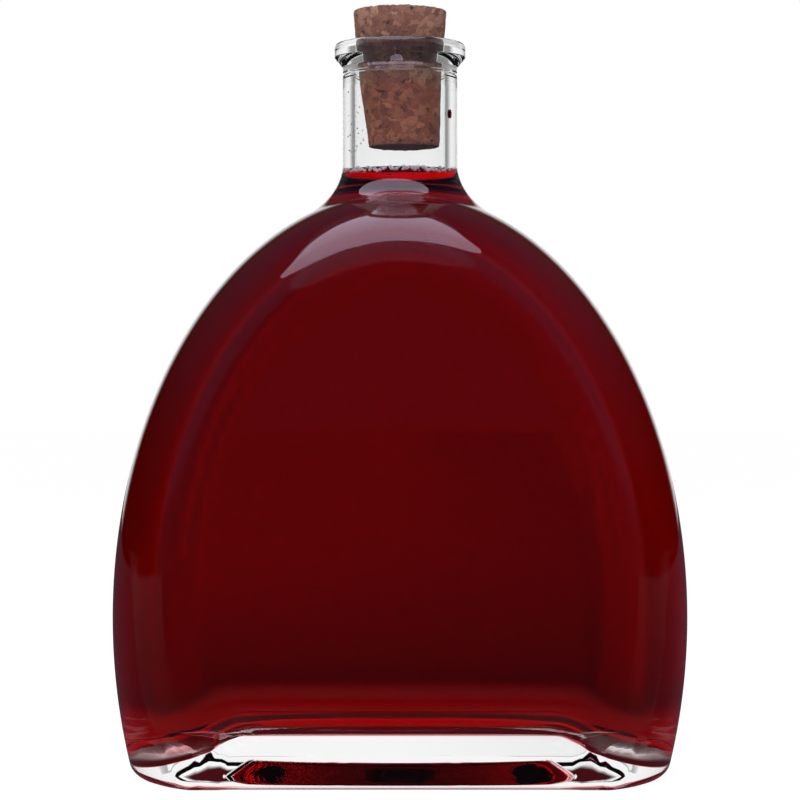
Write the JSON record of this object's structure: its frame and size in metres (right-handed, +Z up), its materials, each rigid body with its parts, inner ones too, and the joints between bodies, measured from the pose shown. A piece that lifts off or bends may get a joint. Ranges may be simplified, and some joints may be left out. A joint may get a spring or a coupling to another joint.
{
  "type": "corked glass bottle",
  "caption": "Flat arched clear-glass flask with sunk panels on its faces, a round neck, a tapered cork that lifts out and a red liquid filling it to the neck.",
  "frame": {"origin": "middle of the foot, on the plane that the bottle stands on", "axes": "+Z up along the neck's axis, X across the width, Y through the depth with the front face towards -Y"},
  "size_m": [0.1222, 0.06, 0.1626],
  "materials": {
    "glass": "clear colourless moulded soda-lime glass, polished",
    "liquid": null,
    "cork": null
  },
  "bodies": {
    "bottle": {"glass_bottle": "glass", "liquid_fill": "liquid"},
    "cork": {"cork_stopper": "cork"}
  },
  "joints": [
    {"name": "cork_lift", "type": "slide", "parent": "bottle", "child": "cork", "axis": [0, 0, 1], "range_m": [0, 0.03]}
  ]
}
